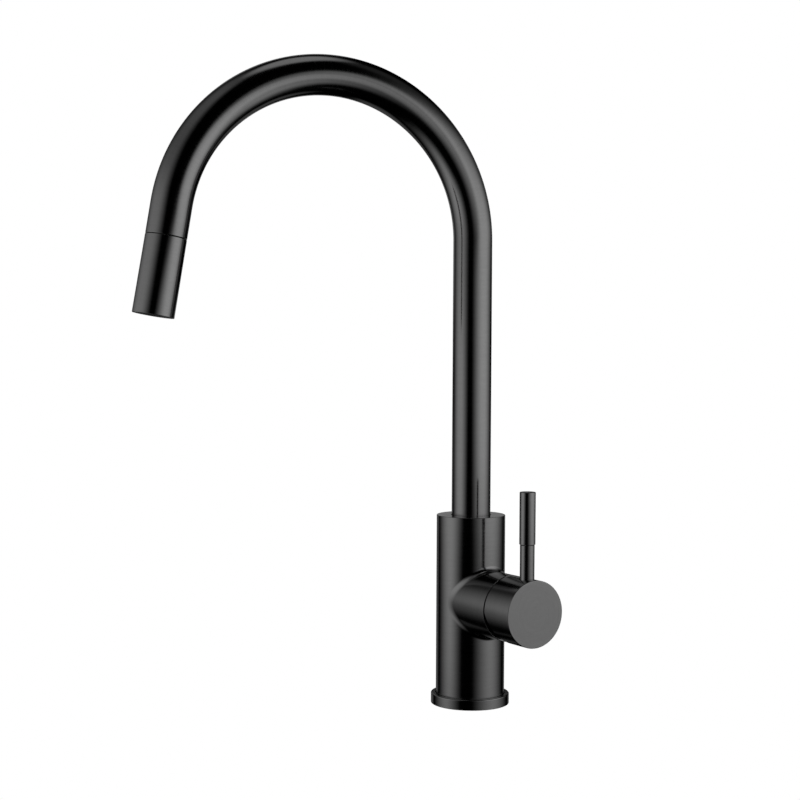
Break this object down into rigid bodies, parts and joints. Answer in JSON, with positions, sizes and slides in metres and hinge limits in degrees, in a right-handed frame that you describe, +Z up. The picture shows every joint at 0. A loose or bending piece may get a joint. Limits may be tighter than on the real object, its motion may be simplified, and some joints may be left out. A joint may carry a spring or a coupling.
{
  "type": "pull-down kitchen faucet",
  "caption": "Tall single-hole kitchen faucet with a swivelling gooseneck spout, a pull-down spray head on a hose and a side mixer knob with an upright lever.",
  "frame": {"origin": "centre of the flange's underside, on the deck that the faucet stands on", "axes": "+Z up along the body, +X along the valve branch towards the lever knob, -Y to the front"},
  "size_m": [0.1335, 0.2714, 0.5407],
  "materials": {
    "gunmetal": "dark gunmetal coating over fine brushing",
    "steel": "plain stainless",
    "brass": "machined",
    "ceramic": "lapped",
    "black_plastic": "satin",
    "white_plastic": "satin",
    "rubber": "matt",
    "magnet": "matt ferrite",
    "hose_braid": "nylon braid"
  },
  "bodies": {
    "faucet_body": {"base_flange": "gunmetal", "base_gasket": "rubber", "base_plug": "brass", "mounting_shank": "brass", "deck_seal_washer": "rubber", "clamp_washer": "steel", "mounting_nut": "brass", "body_shell": "gunmetal", "spout_socket": "brass", "lower_bush": "white_plastic", "upper_bush": "white_plastic", "valve_block": "brass", "outlet_pipe": "steel", "outlet_coupler": "brass", "cartridge_seal": "rubber", "cartridge_base": "white_plastic", "fixed_disc": "ceramic", "cartridge_housing": "white_plastic", "cartridge_nut": "brass", "dome_cover": "gunmetal", "hose_in_body": "hose_braid"},
    "spout": {"spout_tube": "gunmetal", "swivel_spigot": "brass", "spout_retaining_ring": "steel", "dock_sleeve": "black_plastic", "dock_magnet": "magnet", "hose_guide": "black_plastic", "hose_in_spout": "hose_braid"},
    "cartridge_driver_body": {"cartridge_driver": "white_plastic", "stem_pin": "steel"},
    "disc_body": {"moving_disc": "ceramic", "disc_carrier": "white_plastic"},
    "handle": {"cartridge_stem": "steel", "knob": "gunmetal", "knob_grub_screw": "steel", "lever_rod": "gunmetal", "lever_grip": "gunmetal"},
    "hose_end_body": {"hose_end": "hose_braid", "hose_ferrule": "steel"},
    "spray_head": {"head_shell": "gunmetal", "head_core": "black_plastic", "dock_plate": "steel", "hose_nut": "brass", "hose_washer": "rubber", "check_valve": "rubber", "aerator_seal": "rubber", "aerator_insert": "white_plastic", "outlet_ring": "black_plastic"}
  },
  "joints": [
    {"name": "spout_swivel", "type": "hinge", "parent": "faucet_body", "child": "spout", "pos_m": [0, 0, 0.1366], "axis": [0, 0, 1], "continuous": true},
    {"name": "temperature_turn", "type": "hinge", "parent": "faucet_body", "child": "cartridge_driver_body", "pos_m": [0.04, 0, 0.0752], "axis": [1, 0, 0], "range_deg": [-50, 50]},
    {"name": "flow_tilt", "type": "hinge", "parent": "cartridge_driver_body", "child": "handle", "pos_m": [0.04, 0, 0.0752], "axis": [0, 1, 0], "range_deg": [0, 22]},
    {"name": "disc_slide", "type": "slide", "parent": "cartridge_driver_body", "child": "disc_body", "axis": [0, 0, 1], "range_m": [0, 0.0044]},
    {"name": "head_pull", "type": "slide", "parent": "spout", "child": "hose_end_body", "axis": [-0.03, -0.1634, -0.9861], "range_m": [0, 0.24], "stiffness_N_per_m": 8, "springref_m": -0.9},
    {"name": "head_spin", "type": "hinge", "parent": "hose_end_body", "child": "spray_head", "pos_m": [-0.04046, -0.22043, 0.33044], "axis": [0.03, 0.1634, 0.9861], "continuous": true}
  ],
  "couplings": [
    {"joint": "disc_slide", "follows": "flow_tilt", "m_per_rad": 0.01112}
  ]
}
